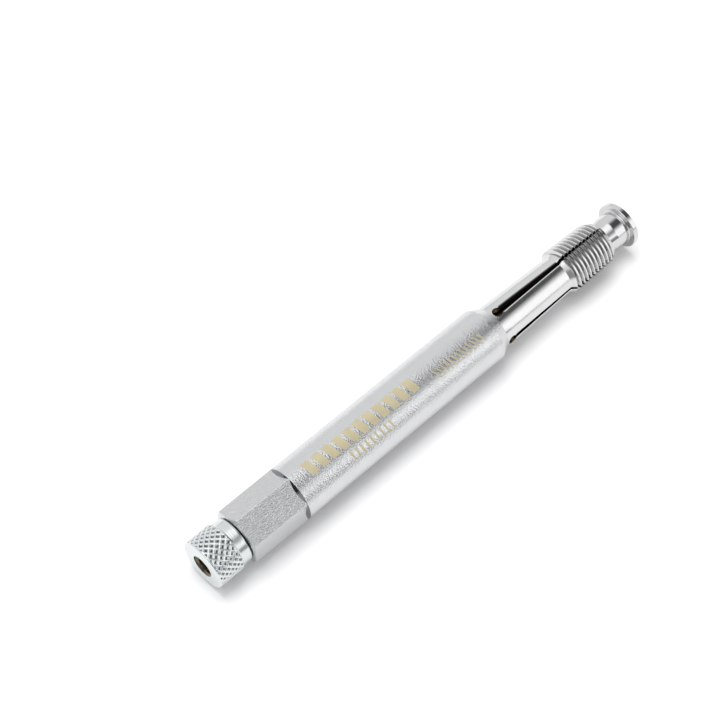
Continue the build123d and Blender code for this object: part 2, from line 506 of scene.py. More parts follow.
@dataclass(frozen=True)
class MetalFinish:
    """A metal finish, with its grain as real size and depth in millimetres."""

    name: str
    colour: tuple[float, float, float]
    roughness: float
    grain: Grain
    grain_size: float = 0.25
    grain_depth: float = 0.01
    roughness_spread: float = 0.06
    metallic: float = 1.0
    # second colour: a random mottle, but where a station is given below, a painted highlight round that
    # station
    mottle_and_highlight_colour: tuple[float, float, float] | None = None
    highlight_at: float | None = None
    highlight_reach: float = 2.0
    highlight_core: float = 0.4
    mottle_size: float = 2.6
    mottle_shade: float = 0.93
    # groove_shade: how strongly painted shade darkens the grooves, towards the near-black colour below
    groove_shade: float = 0.0
    groove_shade_colour: tuple[float, float, float] = (0.03, 0.028, 0.025)

    def material(self, axle: Axle) -> bpy.types.Material:
        """Builds the node material.

        Args:
            axle: The tool's axis, which turned grain runs round.

        Returns:
            The material.
        """
        made = bpy.data.materials.new(self.name)
        made.use_nodes = True
        tree = made.node_tree
        shader = tree.nodes["Principled BSDF"]
        shader.inputs["Metallic"].default_value = self.metallic
        grain = self._grain(tree, axle)
        low, high = self.roughness - self.roughness_spread, self.roughness + self.roughness_spread
        cloud = self._noise(tree, self.mottle_size, detail=3.0)
        feed(tree, shader.inputs["Roughness"], low + (high - low) * cloud)
        # where a station is given, the second colour is a painted highlight round it; otherwise it is a
        # random mottle
        mix = mixed(tree, cloud if self.highlight_at is None else self._near_highlight(tree, axle))
        other = self.mottle_and_highlight_colour or tuple(self.mottle_shade * c for c in self.colour)
        mix.inputs[6].default_value = (*self.colour, 1.0)
        mix.inputs[7].default_value = (*other, 1.0)
        tree.links.new(self._groove_shaded(tree, mix.outputs[2]), shader.inputs["Base Color"])
        bump = tree.nodes.new("ShaderNodeBump")
        bump.inputs["Strength"].default_value = 1.0
        bump.inputs["Distance"].default_value = self.grain_depth * MM
        feed(tree, bump.inputs["Height"], grain)
        tree.links.new(bump.outputs["Normal"], shader.inputs["Normal"])
        return made

    def _groove_shaded(self, tree: bpy.types.NodeTree, clean: bpy.types.NodeSocket) -> bpy.types.NodeSocket:
        """The colour darkened with painted shade in the grooves, where the piece's own groove attribute
        says.
        """
        if not self.groove_shade:
            return clean
        groove = tree.nodes.new("ShaderNodeAttribute")
        groove.attribute_name = "groove"
        mix = mixed(tree, Term(tree, groove.outputs["Fac"]) * self.groove_shade)
        tree.links.new(clean, mix.inputs[6])
        mix.inputs[7].default_value = (*self.groove_shade_colour, 1.0)
        return mix.outputs[2]

    def _near_highlight(self, tree: bpy.types.NodeTree, axle: Axle) -> Term:
        """Is 1 at the painted highlight's own station and fades to 0 at its reach."""
        away = (coordinates(tree, "Object")[0] - axle.x(self.highlight_at)).math("ABSOLUTE") / MM
        return away.ramp(self.highlight_reach, self.highlight_reach * self.highlight_core).smooth()

    def _noise(self, tree: bpy.types.NodeTree, size: float, detail: float,
               stretch: Point = (1.0, 1.0, 1.0), seed: float = 0.0) -> Term:
        """Noise with features of a real size in millimetres, stretched along the axes."""
        place = tree.nodes.new("ShaderNodeTexCoord")
        map_ = tree.nodes.new("ShaderNodeMapping")
        map_.inputs["Scale"].default_value = stretch
        map_.inputs["Location"].default_value = (seed, seed, seed)
        tree.links.new(place.outputs["Object"], map_.inputs["Vector"])
        noise = tree.nodes.new("ShaderNodeTexNoise")
        noise.inputs["Scale"].default_value = 1.0 / (size * MM)
        noise.inputs["Detail"].default_value = detail
        tree.links.new(map_.outputs[0], noise.inputs["Vector"])
        return Term(tree, noise.outputs[0])

    def _grain(self, tree: bpy.types.NodeTree, axle: Axle) -> Term:
        """The height pattern that the grain gives the surface."""
        if self.grain in (Grain.BLASTED, Grain.CUT_FACE):
            coarse_size, coarse_share = 2.7, 0.15
            fine = self._noise(tree, self.grain_size, detail=2.0)
            coarse = self._noise(tree, self.grain_size * coarse_size, detail=1.0, seed=0.3)
            return fine + coarse * coarse_share
        if self.grain is Grain.TURNED:
            round_stretch, fleck_size, fleck_share = 0.04, 1.5, 0.35
            lines = self._noise(tree, self.grain_size, detail=2.0,
                                stretch=(1.0, round_stretch, round_stretch))
            return lines + fleck_share * self._noise(tree, self.grain_size * fleck_size, detail=1.0)
        return self._noise(tree, self.grain_size, detail=3.0)


BODY_CHROME = MetalFinish("satin_blasted_chrome", (0.645, 0.65, 0.655), 0.19, Grain.BLASTED,
                          grain_size=0.36, grain_depth=0.085)
FLAT_CHROME = MetalFinish("milled_flat_chrome", (0.6, 0.605, 0.61), 0.11, Grain.BLASTED,
                          grain_size=0.36, grain_depth=0.085, roughness_spread=0.03)
KNOB_PLATE = MetalFinish("bright_knob_plating", (0.69, 0.72, 0.725), 0.17, Grain.PLATED,
                         grain_size=0.6, grain_depth=0.02, groove_shade=0.95)
TAP_PLATE = MetalFinish("satin_tap_plating", (0.67, 0.67, 0.668), 0.13, Grain.BLASTED,
                        grain_size=0.3, grain_depth=0.018, groove_shade=0.25)
# the shoulder's turned grain, with its colour darkened as a painted dark reflection
SHOULDER_DARK_REFLECTION = MetalFinish("shoulder_painted_dark_reflection", (0.19, 0.2, 0.215), 0.14, Grain.TURNED,
                             grain_size=0.2, grain_depth=0.004, roughness_spread=0.03)
ROD_CHROME = MetalFinish("polished_rod_chrome", (0.635, 0.63, 0.635), 0.06, Grain.TURNED,
                         grain_size=0.3, grain_depth=0.0015, roughness_spread=0.02)
# the rod's stem, in a dark brown
ROD_STEM = MetalFinish("dark_rod_stem", (0.12, 0.1, 0.075), 0.28, Grain.TURNED, grain_size=0.2,
                       grain_depth=0.006, mottle_and_highlight_colour=(0.07, 0.06, 0.05))
# cut walls: dark as painted shade in the slots, holes and bore, with a painted gold highlight round the
# relief holes
TAP_CUT = MetalFinish("cut_wall_painted_shade_and_highlight", (0.075, 0.072, 0.068), 0.2, Grain.CUT_FACE, grain_size=0.3,
                      grain_depth=0.01, mottle_and_highlight_colour=(0.82, 0.7, 0.44), highlight_at=94.8, highlight_reach=2.2)
# the knob's bore, darkened with painted shade
KNOB_BORE = MetalFinish("knob_bore_painted_shade", (0.2, 0.18, 0.12), 0.25, Grain.TURNED,
                        grain_size=0.2, grain_depth=0.01, mottle_and_highlight_colour=(0.1, 0.09, 0.065))
KEY_STEEL = MetalFinish("plain_key_steel", (0.45, 0.45, 0.46), 0.3, Grain.TURNED, grain_size=0.15,
                        grain_depth=0.003)
MARK_OXIDE = MetalFinish("laser_mark_oxide", (0.56, 0.5, 0.33), 0.42, Grain.BLASTED,
                         grain_size=0.3, grain_depth=0.03, metallic=0.4, mottle_and_highlight_colour=(0.45, 0.4, 0.26))


# ---- barrel


@dataclass
class Barrel:
    """The body: a hexagon and a round barrel turned from one bar. Sizes in millimetres."""

    axle: Axle
    rear: float = 10.25
    hex_length: float = 16.5
    front: float = 93.25
    across_flats: float = 12.7
    diameter: float = 14.5
    rim_loss: float = 1.35
    rim_length: float = 0.5
    shoulder_length: float = 0.7
    nose_length: float = 2.8
    nose_small: float = 5.75
    guide_radius: float = 3.25
    bore_radius: float = 3.9
    collar_depth: float = 12.0
    bore_cone: float = 1.0
    bore_chamfer: float = 0.4
    press_gap: float = 0.02
    edge_round: float = 0.14
    edge_segments: int = 3
    edge_angle: float = 18.0
    columns_per_flat: int = 26
    flat_rows: int = 6
    round_rows: int = 24
    facing_back: float = 0.3
    crease: float = 60.0

    def flat_radius(self, angle: float) -> float:
        """Radius of the blunted hexagon at an angle from +Y, with flats facing +Y and -Y."""
        turn = (angle + pi / 6) % (pi / 3) - pi / 6
        return min(self.across_flats / 2 / cos(turn), self.diameter / 2)

    def angles(self) -> list[float]:
        """Angles of the mesh's columns, with a pair at each blunted corner's edges."""
        edge = acos(self.across_flats / self.diameter)
        spread = [edge * (2 * k / self.columns_per_flat - 1) for k in range(self.columns_per_flat + 1)]
        return [flat * pi / 3 + turn for flat in range(6) for turn in spread]

    def column(self, angle: float) -> list[tuple[float, float]]:
        """Stations and radii down the outside at one angle, from the rear face to the front."""
        flat, half = self.flat_radius(angle), self.diameter / 2
        face = half - self.rim_loss
        rim_end = self.rear + (flat - face) * self.rim_length / self.rim_loss
        shoulder = self.rear + self.hex_length
        climb = (flat - self.across_flats / 2) / (half - self.across_flats / 2)
        where_cone = shoulder - self.shoulder_length * (1 - climb)
        rim = [(self.rear, face), (rim_end, flat)]
        run = [(rim_end + (where_cone - rim_end) * k / self.flat_rows, flat)
               for k in range(1, self.flat_rows)]
        ends = [(where_cone, flat), (shoulder, half)]
        round_run = [(shoulder + (self.front - self.nose_length - shoulder) * k / self.round_rows, half)
                     for k in range(1, self.round_rows)]
        return rim + run + ends + round_run + [(self.front - self.nose_length, half),
                                               (self.front, self.nose_small)]

    def build(self, chrome: bpy.types.Material, steel: bpy.types.Material,
              flat: bpy.types.Material) -> None:
        """Builds and dresses the body.

        Args:
            chrome: The satin outside.
            steel: The shoulder between the hexagon's flats and the barrel, darkened as a painted dark
                reflection.
            flat: The hexagon's flats.
        """
        angles = self.angles()
        columns = [self.column(angle) for angle in angles]
        seat, seat_rear = self.nose_small - self.press_gap, self.front - self.collar_depth
        guide_front = self.rear + self.hex_length
        bore = [(self.front, seat), (seat_rear, seat), (seat_rear, self.bore_radius),
                (guide_front + self.bore_cone, self.bore_radius), (guide_front, self.guide_radius),
                (self.rear + self.bore_chamfer, self.guide_radius),
                (self.rear, self.guide_radius + self.bore_chamfer)]
        rings = [[self.axle.at(*col[row], angle) for col, angle in zip(columns, angles)]
                 for row in range(len(columns[0]))]
        rings += [[self.axle.at(station, radius, angle) for angle in angles] for station, radius in bore]
        points = [point for ring in rings for point in ring]
        piece = new_piece("barrel_and_hexagon", points, tube_faces(len(rings), len(angles), True))
        recalculate(piece, merge=2e-6)
        rounding = piece.modifiers.new("edges", "BEVEL")
        rounding.width = self.edge_round * MM
        rounding.segments = self.edge_segments
        rounding.limit_method = "ANGLE"
        rounding.angle_limit = radians(self.edge_angle)
        rounding.harden_normals = True
        smooth_faces(piece, self.crease)
        settle(piece)
        dress(piece, "root", "hex_body", "satin_chrome", chrome, steel, flat)
        shoulder = self.axle.x(self.rear + self.hex_length)
        for face in piece.data.polygons:
            near = abs(face.center.x - shoulder) < 2 * self.shoulder_length * MM
            # the shoulder's rear-facing faces take the dark material, a painted dark reflection
            if near and face.normal.x < -self.facing_back:
                face.material_index = 1
            elif face.center.x < shoulder and abs(face.normal.x) < self.facing_back:
                outward = face.center.y * face.normal.y + (face.center.z - self.axle.height) * face.normal.z
                face.material_index = 2 * int(outward > 0.0)


@dataclass
class MarkRow:
    """A row of plain slanted strokes lasered on the barrel. Sizes in millimetres."""

    name: str
    start: float
    pitch: float
    count: int
    stroke: float
    height: float
    slant: float
    angle: float
    zigzag: bool = False
    lift: float = 0.012
    depth: float = 0.05
    stroke_rows: int = 9

    def build(self, axle: Axle, radius: float, oxide: bpy.types.Material) -> None:
        """Builds and dresses the row.

        Args:
            axle: The tool's axis.
            radius: The barrel's radius.
            oxide: The marks' finish.
        """
        rule = RuleTree(self.name + "_rule", axle, {
            "Start": axle.x(self.start) / MM, "Pitch": self.pitch, "Stroke": self.stroke,
            "Height": self.height, "Slant": self.slant, "Angle": radians(self.angle), "Radius": radius})
        line = rule.node("GeometryNodeMeshLine", mode="OFFSET")
        line.inputs["Count"].default_value = self.count
        rule.tree.links.new(rule.vector(rule.size("Pitch"), 0.0, 0.0), line.inputs["Offset"])
        cube = rule.node("GeometryNodeMeshCube")
        cube.inputs["Size"].default_value = (1.0, 1.0, 1.0)
        for side, rows in zip("XYZ", (2, self.stroke_rows, 2)):
            cube.inputs["Vertices " + side].default_value = rows
        copies = rule.node("GeometryNodeInstanceOnPoints")
        rule.tree.links.new(line.outputs[0], copies.inputs["Points"])
        rule.tree.links.new(cube.outputs[0], copies.inputs["Instance"])
        if self.zigzag:
            number = Term(rule.tree, rule.node("GeometryNodeInputIndex").outputs[0])
            flip = (number / 2.0).math("FRACT") * -4.0 + 1.0  # 1 for even strokes and -1 for odd ones
            rule.tree.links.new(rule.vector(1.0, flip, 1.0), copies.inputs["Scale"])
        rule.flow = copies.outputs[0]
        rule.through(rule.node("GeometryNodeRealizeInstances"))
        x, y, z = rule.position()
        centre = (x / rule.size("Pitch")).math("ROUND") * rule.size("Pitch")
        local = x - centre
        turn = rule.size("Angle") + y * rule.size("Height") / rule.size("Radius")
        lift = z * (self.lift + self.depth) + (self.lift - self.depth) / 2 + rule.size("Radius")
        across = rule.size("Start") + centre + local * rule.size("Stroke") + y * rule.size("Slant")
        rule.place(across, lift * turn.math("COSINE"), lift * turn.math("SINE"))
        rule.close([(oxide, None)])
        piece = new_piece(self.name, [(0, 0, 0)], [])
        rule.bake(piece)
        recalculate(piece, merge=1e-9)
        dress(piece, "root", None, "satin_chrome")


# ---- split tap


@dataclass
class SplitTap:
    """The tap: four threaded fingers that bend at their relief holes. Sizes in millimetres.

    Each finger is written at its open, cutting size, with x = 0 at the relief holes, and its rule
    then bends it in to the closed place that it rests at.
    """

    axle: Axle
    relief: float = 94.8
    tip: float = 36.6
    buried: float = 2.4
    thread_radius: float = 7.0
    thread_depth: float = 0.77
    pitch: float = 1.25
    thread_start: float = 22.85
    shank_radius: float = 5.75
    taper_length: float = 1.6
    tip_chamfer: float = 0.8
    tip_chamfer_length: float = 1.7
    slot_half: float = 0.9
    relief_radius: float = 1.3
    bore_radius: float = 3.9
    seat_rear: float = 29.116
    seat_rear_radius: float = 4.139
    seat_tip_radius: float = 5.316
    close_angle: float = 1.7
    flex_radius: float = 4.9
    flex_from: float = -1.2
    flex_to: float = 2.0
    slot_bevel: float = 0.14
    bevel_from: float = 0.92
    edge_column: float = 0.08
    bevel_rows: tuple[float, ...] = (1.05, 1.2, 1.4)
    root_row: float = -1.7
    crest_share: float = 0.26
    rows_in_flank: int = 4
    columns: int = 26
    fingers: int = 4
    hole_rows: int = 16
    shank_rows: int = 12
    thread_row_gap: tuple[float, float] = (0.15, 0.2)
    tip_row: float = 0.08
    slant_in: float = 1.0
    slant_out: float = 0.6
    slot_bevel_from: float = 0.8
    slot_bevel_full: float = 1.25
    slot_onset: float = 0.01
    seat_lead: float = 0.4
    groove_end: float = 0.3
    crease: float = 28.0
    collar_rear: float = 81.25
    collar_guide: float = 8.0
    collar_cone: float = 1.0
    collar_chamfer: float = 0.3
    collar_overlap: float = 0.02
    collar_columns: int = 96
    press_gap: float = 0.03
    guide_radius: float = 3.25

    def rows(self, angle: float) -> list[float]:
        """Distances of the mesh's rows from the relief holes, lined up with this finger's thread."""
        edge = self.crest_share / 2
        rise = [edge + (0.5 - 2 * edge) * k / self.rows_in_flank for k in range(self.rows_in_flank + 1)]
        phases = rise + [1 - phase for phase in reversed(rise)]
        way_out = pi - asin(self.slot_half / self.relief_radius)
        hole = [-self.relief_radius * cos(way_out * k / self.hole_rows) for k in range(self.hole_rows + 1)]
        shank_front = self.thread_start - self.taper_length
        bevelled = self.slot_bevel_full * self.relief_radius
        shank = [bevelled + (shank_front - bevelled) * k / self.shank_rows
                 for k in range(self.shank_rows + 1)]
        rows = [-self.buried, self.root_row, *hole, *self.bevel_rows, *shank]
        # from two turns before the thread to past the tip; rows that miss the thread are left out below
        turns = int((self.tip - shank_front) / self.pitch) + 3
        shift = self.pitch * angle / tau
        thread = [self.thread_start + self.pitch * (turn - 2 + phase) + shift
                  for turn in range(turns) for phase in phases]
        rear_gap, tip_gap = self.thread_row_gap
        rows += [x for x in thread if shank_front + rear_gap < x < self.tip - tip_gap]
        return sorted(rows) + [self.tip - self.tip_row, self.tip]

    def finger(self, number: int, angle: float, plate: bpy.types.Material,
               cut: bpy.types.Material) -> None:
        """Builds and dresses one finger.

        Args:
            number: Which finger, from 1.
            angle: The way that it faces, in radians from +Y.
            plate: The plated outside.
            cut: The walls of its slot, relief holes and bore, dark with painted shade and with a painted
                gold highlight by the relief holes.
        """
        rows, edge = self.rows(angle), self.edge_column
        inner = [-1 + edge + (2 - 2 * edge) * k / (self.columns - 3) for k in range(self.columns - 2)]
        across = [-1.0, *inner, 1.0]
        wide, long = len(across), len(rows)
        points, attribute = [], {"along": [], "across": [], "layer": []}
        for layer in (1.0, 0.0):
            for x in rows:
                for v in across:
                    points.append((x, v, layer))
                    for name, value in (("along", x), ("across", v), ("layer", layer)):
                        attribute[name].append(value)
        faces, dark_faces = [], []

        def index(layer: int, row: int, col: int) -> int:
            """Number of one point of the grid."""
            return ((1 - layer) * long + row) * wide + col

        def add(a: int, b: int, c: int, d: int, is_cut_wall: bool) -> None:
            """Adds one face and notes whether it is a cut wall."""
            faces.append((a, b, c, d))
            dark_faces.append(is_cut_wall)

        for row in range(long - 1):
            for col in range(wide - 1):
                add(index(1, row, col), index(1, row, col + 1), index(1, row + 1, col + 1),
                    index(1, row + 1, col), False)
                add(index(0, row, col), index(0, row + 1, col), index(0, row + 1, col + 1),
                    index(0, row, col + 1), True)
            for col, way in ((0, 1), (wide - 1, -1)):
                wall = (index(1, row, col), index(1, row + 1, col), index(0, row + 1, col),
                        index(0, row, col))
                add(*wall[::way], True)
        for col in range(wide - 1):
            for row, way in ((0, -1), (long - 1, 1)):
                end = (index(1, row, col), index(1, row, col + 1), index(0, row, col + 1),
                       index(0, row, col))
                add(*end[::way], False)
        piece = new_piece(f"split_tap_finger_{number}", points, faces)
        for name, values in attribute.items():
            store(piece, name, values)
        # the cut walls, which take the cut finish's painted shade
        flag_faces(piece, "dark_faces", dark_faces)
        self.rule(angle, plate, cut).bake(piece)
        recalculate(piece)
        smooth_faces(piece, self.crease)
        flex = [(self.axle.x(self.relief + x), 0.0, self.axle.height) for x in
                (self.flex_from, self.flex_to)]
        dress(piece, ("root", f"finger_{number}"), f"tap_finger_{number}", "tap_steel",
              flex=(flex[0], flex[1]))

    def rule(self, angle: float, plate: bpy.types.Material, cut: bpy.types.Material) -> RuleTree:
        """The rule that gives a finger its thread, taper, slots, relief holes, bore and bend.

        Args:
            angle: The way that the finger faces, in radians from +Y.
            plate: The plated outside.
            cut: The cut walls.

        Returns:
            The tree.
        """
        named = ("Pitch", "Crest share", "Thread start", "Taper length", "Shank radius", "Tip",
                 "Tip chamfer", "Tip chamfer length", "Slot half", "Relief radius", "Slot bevel",
                 "Bore radius", "Seat rear", "Seat rear radius", "Seat tip radius", "Flex radius",
                 "Flex from", "Flex to")
        rule = RuleTree("split_tap_rule", self.axle, {
            **{name: getattr(self, name.lower().replace(" ", "_")) for name in named},
            "Crest radius": self.thread_radius, "Depth": self.thread_depth,
            "Close angle": radians(self.close_angle), "Facing": angle,
            "Relief X": self.axle.x(self.relief) / MM})
        size = rule.size
        along, across, layer = (rule.attribute(n) for n in ("along", "across", "layer"))
        tip, start = size("Tip"), size("Thread start")
        shank_front = start - size("Taper length")
        slant = along.ramp(shank_front, shank_front + self.slant_in) * along.ramp(tip, tip - self.slant_out)
        sides = 2.0 * self.fingers
        x = along + size("Pitch") * across / sides * slant
        turn_share = across / sides + size("Facing") / tau
        flank = thread_height(x, turn_share, start, size("Pitch"), size("Crest share"))
        thread = size("Crest radius") - size("Depth") + size("Depth") * flank
        rise = size("Crest radius") - size("Shank radius")
        taper = size("Shank radius") + rise * x.ramp(shank_front, start)
        nose = size("Crest radius") - size("Tip chamfer") * x.ramp(tip - size("Tip chamfer length"), tip)
        edge = across.math("ABSOLUTE").ramp(self.bevel_from, 1.0)
        hole_radius = size("Relief radius")
        past_hole = x.ramp(hole_radius * self.slot_bevel_from, hole_radius * self.slot_bevel_full)
        on_shank = x.ramp(start, shank_front) * past_hole
        outside = taper.smallest(thread, nose) - size("Slot bevel") * edge * on_shank
        seat = size("Seat tip radius") - size("Seat rear radius")
        bore = size("Bore radius").largest(
            size("Seat rear radius") + seat * x.ramp(size("Seat rear"), tip))
        seated = x.ramp(size("Seat rear") - self.seat_lead, size("Seat rear"))
        bore = size("Bore radius") + (bore - size("Bore radius")) * seated
        radius = bore + (outside - bore) * layer
        hole = (hole_radius * hole_radius - x * x).largest(0.0).math("SQRT")
        half = hole.largest(size("Slot half") * x.ramp(0.0, self.slot_onset))
        reach = pi / self.fingers - (half / radius).math("ARCSINE")
        turn = across * reach
        out, side = radius * turn.math("COSINE"), radius * turn.math("SINE")
        bend = size("Close angle") * x.ramp(size("Flex from"), size("Flex to")).smooth()
        lever = out - size("Flex radius")
        bent_x = x * bend.math("COSINE") + lever * bend.math("SINE")
        bent_out = lever * bend.math("COSINE") - x * bend.math("SINE") + size("Flex radius")
        facing_cos, facing_sin = size("Facing").math("COSINE"), size("Facing").math("SINE")
        threaded = x.ramp(shank_front, start) * x.ramp(tip, tip - self.groove_end)
        # the thread's roots get painted shade through this groove value
        rule.keep("groove", (1.0 - flank) * threaded * layer)
        rule.place(bent_x + size("Relief X"), bent_out * facing_cos - side * facing_sin,
                   bent_out * facing_sin + side * facing_cos)
        rule.close([(plate, None), (cut, "dark_faces")])
        return rule

    def collar(self, cut: bpy.types.Material) -> None:
        """Builds and dresses the tap's unsplit root, inside the barrel."""
        rear, chamfer, seat = self.collar_rear, self.collar_chamfer, self.shank_radius - self.press_gap
        front, guide_front = self.relief - self.buried + self.collar_overlap, rear + self.collar_guide
        outline = [(rear, self.guide_radius + chamfer), (rear, self.shank_radius - chamfer),
                   (rear + chamfer, seat), (front, seat), (front, self.bore_radius),
                   (guide_front + self.collar_cone, self.bore_radius), (guide_front, self.guide_radius),
                   (rear + chamfer, self.guide_radius)]
        piece = turned("split_tap_root", self.axle, outline, self.collar_columns, True)
        smooth_faces(piece)
        dress(piece, "root", "tap_collar", "tap_steel", cut)

    def build(self, plate: bpy.types.Material, cut: bpy.types.Material) -> None:
        """Builds the fingers and their common root."""
        for number in range(1, self.fingers + 1):
            self.finger(number, radians(360 / self.fingers * (number - 0.5)), plate, cut)
        self.collar(cut)


# ---- draw rod


@dataclass
class DrawRod:
    """The rod: threaded tail, stem, wedge cone, parallel neck and end disc. Sizes in millimetres."""

    axle: Axle
    tail: float = 5.4
    tail_thread: float = 16.0
    radius: float = 3.175
    pitch: float = 1.27
    thread_depth: float = 0.6
    wedge_rear: float = 123.916
    wedge_front: float = 134.3
    wedge_radius: float = 4.5
    disc_back: float = 137.95
    disc_front: float = 139.45
    disc_radius: float = 6.13
    fillet: float = 0.3
    rim: float = 0.22
    tail_chamfer: float = 0.6
    tail_rings: int = 10
    stem_rings: tuple[float, ...] = (60.0, 100.0)
    cone_edge: float = 0.15
    cone_edge_drop: float = 0.02
    cone_to_neck: float = 0.1
    stem_margin: float = 0.1
    thread_runout: float = 1.0
    thread_skin: tuple[float, float] = (2.9, 3.1)
    least_radius: float = 0.1
    rim_to_face: float = 1.6
    columns: int = 120
    crease: float = 30.0

    def build(self, chrome: bpy.types.Material, stem: bpy.types.Material) -> None:
        """Builds and dresses the rod.

        Args:
            chrome: The polished wedge and disc.
            stem: The darker rest of it.
        """
        neck = arc((self.disc_back - self.fillet, self.wedge_radius + self.fillet), self.fillet, 270, 360)
        back_rim = arc((self.disc_back + self.rim, self.disc_radius - self.rim), self.rim, 180, 90)
        front_rim = arc((self.disc_front - self.rim, self.disc_radius - self.rim), self.rim, 90, 0)
        tail_end = self.tail + self.tail_thread
        steps = int(self.tail_thread / self.pitch * self.tail_rings)
        thread = [(self.tail + self.tail_chamfer + (self.tail_thread - self.tail_chamfer) * k / steps,
                   self.radius) for k in range(steps + 1)]
        outline = [(self.tail, 0.0), (self.tail, self.radius - self.tail_chamfer), *thread,
                   (tail_end + self.thread_runout, self.radius),
                   *((station, self.radius) for station in self.stem_rings),
                   (self.wedge_rear, self.radius),
                   (self.wedge_front - self.cone_edge, self.wedge_radius - self.cone_edge_drop),
                   (self.wedge_front + self.cone_to_neck, self.wedge_radius), *neck, *back_rim, *front_rim,
                   (self.disc_front, self.disc_radius - self.rim_to_face), (self.disc_front, 0.0)]
        piece = turned("draw_rod_and_disc", self.axle, outline, self.columns, False)
        stem_end = self.axle.x(self.wedge_rear + self.stem_margin)
        is_stem = [face.center.x < stem_end for face in piece.data.polygons]
        flag_faces(piece, "dark_faces", is_stem)
        rule = RuleTree("rod_tail_rule", self.axle, {
            "Pitch": self.pitch, "Depth": self.thread_depth, "Start": self.axle.x(self.tail) / MM,
            "End": self.axle.x(tail_end) / MM})
        x, y, up, radius, turn = rule.round_position()
        groove = 1.0 - thread_height(x, turn, rule.size("Start"), rule.size("Pitch"))
        end = rule.size("End")
        tail = x.ramp(end, end - self.thread_runout) * radius.ramp(*self.thread_skin)
        drop = 1.0 - rule.size("Depth") * groove * tail / radius.largest(self.least_radius)
        rule.place(x, y * drop, up * drop)
        rule.close([(chrome, None), (stem, "dark_faces")])
        rule.bake(piece)
        recalculate(piece)
        smooth_faces(piece, self.crease)
        dress(piece, "rod", "draw_rod", "polished_rod")


# ---- knob


@dataclass
class Knob:
    """The knurled nut on the rod's tail. Sizes in millimetres."""

    axle: Axle
    length: float = 10.1
    grip_radius: float = 6.4
    neck_radius: float = 5.95
    rim: float = 0.35
    knurl_to: float = 6.95
    bore: float = 3.25
    thread_depth: float = 0.6
    thread_pitch: float = 1.27
    rod_tail: float = 5.4
    cells: int = 23
    pit_depth: float = 0.42
    land_share: float = 0.3
    samples: int = 14
    end_ring: float = 0.8
    step_length: float = 0.4
    step_fillet: tuple[float, float] = (0.25, 0.06)
    neck_rings: tuple[float, ...] = (7.6, 8.8, 9.6)
    back_rounding: tuple[tuple[float, float], ...] = ((0.25, 0.08), (0.13, 0.3), (0.0, 0.9))
    thread_rings: int = 10
    mouth_row: float = 0.1
    bore_margin: float = 0.01
    knurl_fade: tuple[float, float] = (0.01, 0.05)
    grip_skin: tuple[float, float] = (0.02, 0.01)
    bore_skin: tuple[float, float] = (0.2, 0.1)
    crease: float = 26.0

    def build(self, plate: bpy.types.Material, bore: bpy.types.Material) -> None:
        """Builds and dresses the knob.

        Args:
            plate: The bright outside.
            bore: The inside of the hole, darkened with painted shade.
        """
        cell = tau * self.grip_radius / self.cells
        steps = int((self.knurl_to - self.rim) / cell * self.samples)
        knurl = [(self.rim + (self.knurl_to - self.rim) * k / steps, self.grip_radius)
                 for k in range(steps + 1)]
        rim = arc((self.rim, self.grip_radius - self.rim), self.rim, 180, 100, 4)
        rings = int(self.length / self.thread_pitch * self.thread_rings)
        bored = [(self.length + (self.mouth_row - self.length) * k / rings, self.bore)
                 for k in range(rings + 1)]
        fillet, rise = self.step_fillet
        back = [(self.length - before, self.neck_radius - lost) for before, lost in self.back_rounding]
        outline = [(0.0, self.bore), (0.0, self.grip_radius - self.rim - self.end_ring), *rim, *knurl,
                   (self.knurl_to + fillet, self.neck_radius + rise),
                   (self.knurl_to + self.step_length, self.neck_radius),
                   *((station, self.neck_radius) for station in self.neck_rings), *back, *bored]
        piece = turned("knurled_knob_nut", self.axle, outline, self.cells * self.samples, True)
        is_bore = []
        for face in piece.data.polygons:
            spots = [piece.data.vertices[v].co for v in face.vertices]
            reach = max(Vector((p.y, p.z - self.axle.height)).length for p in spots)
            is_bore.append(reach < (self.bore + self.bore_margin) * MM)
        # the bore's faces, which take the bore finish's painted shade
        flag_faces(piece, "dark_faces", is_bore)
        rule = RuleTree("knurl_rule", self.axle, {
            "Cells": self.cells, "Cell length": cell, "Pit depth": self.pit_depth,
            "Land share": self.land_share, "From": self.axle.x(self.rim) / MM,
            "To": self.axle.x(self.knurl_to) / MM, "Grip radius": self.grip_radius,
            "Thread pitch": self.thread_pitch, "Thread depth": self.thread_depth,
            "Thread start": self.axle.x(self.rod_tail) / MM, "Bore radius": self.bore})
        x, y, up, radius, share = rule.round_position()
        first, last, grip, wall = (rule.size(n) for n in ("From", "To", "Grip radius", "Bore radius"))
        turn = share * rule.size("Cells")
        climb = (x - first) / rule.size("Cell length")
        right, left = 1.0 - (turn + climb).wave(), 1.0 - (turn - climb).wave()
        land = rule.size("Land share")
        pit = ((right.smallest(left) - land) / (1.0 - land)).clamp()
        past, within = self.knurl_fade
        ends = x.ramp(first - past, first + within) * x.ramp(last + past, last - within)
        below, above = self.grip_skin
        sunk = pit * ends * radius.ramp(grip - below, grip - above)
        ridge = 1.0 - thread_height(x, share, rule.size("Thread start"), rule.size("Thread pitch"))
        far, near = self.bore_skin
        on_bore = radius.ramp(wall - far, wall - near) * radius.ramp(wall + far, wall + near)
        cut = rule.size("Pit depth") * sunk + rule.size("Thread depth") * ridge * on_bore
        drop = 1.0 - cut / radius
        # the knurl's pits get painted shade through this groove value
        rule.keep("groove", sunk)
        rule.place(x, y * drop, up * drop)
        rule.close([(plate, None), (bore, "dark_faces")])
        rule.bake(piece)
        smooth_faces(piece, self.crease)
        dress(piece, "knob", "knurled_knob", "knob_plating")


# ---- studio


